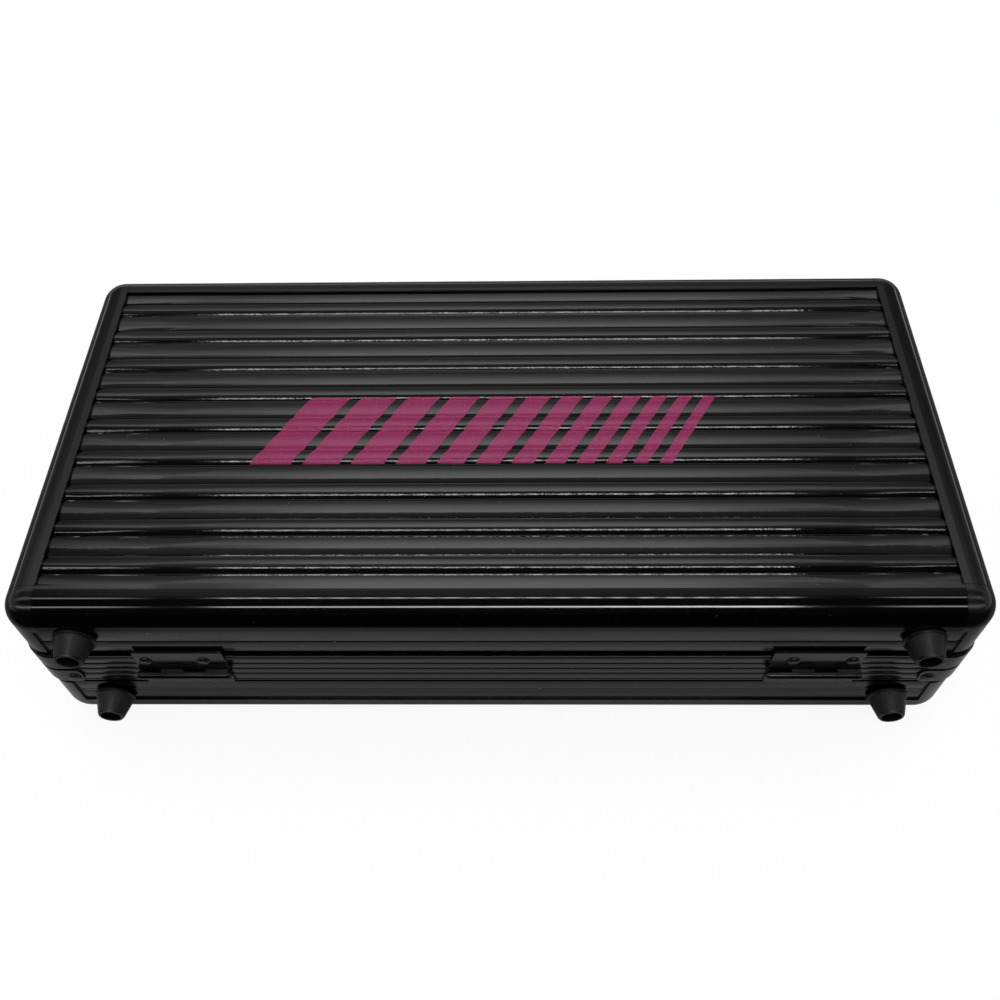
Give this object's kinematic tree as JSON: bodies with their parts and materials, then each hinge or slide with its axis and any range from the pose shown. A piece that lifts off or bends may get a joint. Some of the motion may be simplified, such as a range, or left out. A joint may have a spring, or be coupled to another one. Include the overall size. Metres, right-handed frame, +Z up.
{
  "type": "keyboard hard case",
  "caption": "Flat rectangular hard case with a ribbed hinged lid, rounded edges, rubber feet on the hinge side, snap latches, a carrying handle and a foam pocket.",
  "frame": {"origin": "centre of the case's footprint on the ground, under the base", "axes": "+X along the hinges to the right as seen from the hinge side, +Y from the hinge side to the front with the latches and handle, +Z up"},
  "size_m": [0.4036, 0.217, 0.093],
  "materials": {
    "extrusion": "gloss black coat",
    "corner": "satin black coat",
    "panel": "gloss black film over board",
    "hardware": "gloss black",
    "rubber": "satin",
    "grip": "satin",
    "foam": "open-cell foam"
  },
  "bodies": {
    "base": {"base_bottom_panel": "panel", "base_hinge_panel": "panel", "base_front_panel": "panel", "base_left_panel": "panel", "base_right_panel": "panel", "base_hinge_edge": "extrusion", "base_front_edge": "extrusion", "base_left_edge": "extrusion", "base_right_edge": "extrusion", "base_corner_hinge_left": "corner", "base_corner_hinge_right": "corner", "base_corner_front_left": "corner", "base_corner_front_right": "corner", "base_hinge_rim": "extrusion", "base_front_rim": "extrusion", "base_left_rim": "extrusion", "base_right_rim": "extrusion", "base_rim_corners": "corner", "base_rivets": "hardware", "base_feet": "rubber", "base_foot_screws": "hardware", "base_foam_floor": "foam", "base_foam_frame": "foam", "hinge_lower_leaf_left": "hardware", "hinge_lower_leaf_right": "hardware", "hinge_pins": "hardware", "latch_catches": "hardware", "handle_bracket_left": "hardware", "handle_bracket_right": "hardware", "handle_pins": "hardware"},
    "lid": {"lid_top_panel": "panel", "lid_hinge_panel": "panel", "lid_front_panel": "panel", "lid_left_panel": "panel", "lid_right_panel": "panel", "lid_hinge_edge": "extrusion", "lid_front_edge": "extrusion", "lid_left_edge": "extrusion", "lid_right_edge": "extrusion", "lid_corner_hinge_left": "corner", "lid_corner_hinge_right": "corner", "lid_corner_front_left": "corner", "lid_corner_front_right": "corner", "lid_hinge_rim": "extrusion", "lid_front_rim": "extrusion", "lid_left_rim": "extrusion", "lid_right_rim": "extrusion", "lid_rim_corners": "corner", "lid_rivets": "hardware", "lid_feet": "rubber", "lid_foot_screws": "hardware", "lid_foam": "foam", "hinge_upper_leaf_left": "hardware", "hinge_upper_leaf_right": "hardware", "latch_bracket_left": "hardware", "latch_bracket_right": "hardware", "latch_pins": "hardware"},
    "latch_left": {"latch_lever_left": "hardware"},
    "latch_right": {"latch_lever_right": "hardware"},
    "handle": {"handle_grip": "grip"}
  },
  "joints": [
    {"name": "lid_hinge", "type": "hinge", "parent": "base", "child": "lid", "pos_m": [0, -0.101, 0.0465], "axis": [1, 0, 0], "range_deg": [0, 135]},
    {"name": "latch_left_pivot", "type": "hinge", "parent": "lid", "child": "latch_left", "pos_m": [-0.122, 0.1022, 0.068], "axis": [1, 0, 0], "range_deg": [-6, 100]},
    {"name": "latch_right_pivot", "type": "hinge", "parent": "lid", "child": "latch_right", "pos_m": [0.122, 0.1022, 0.068], "axis": [1, 0, 0], "range_deg": [-6, 100]},
    {"name": "handle_pivot", "type": "hinge", "parent": "base", "child": "handle", "pos_m": [0, 0.1036, 0.037], "axis": [1, 0, 0], "range_deg": [0, 100]}
  ]
}
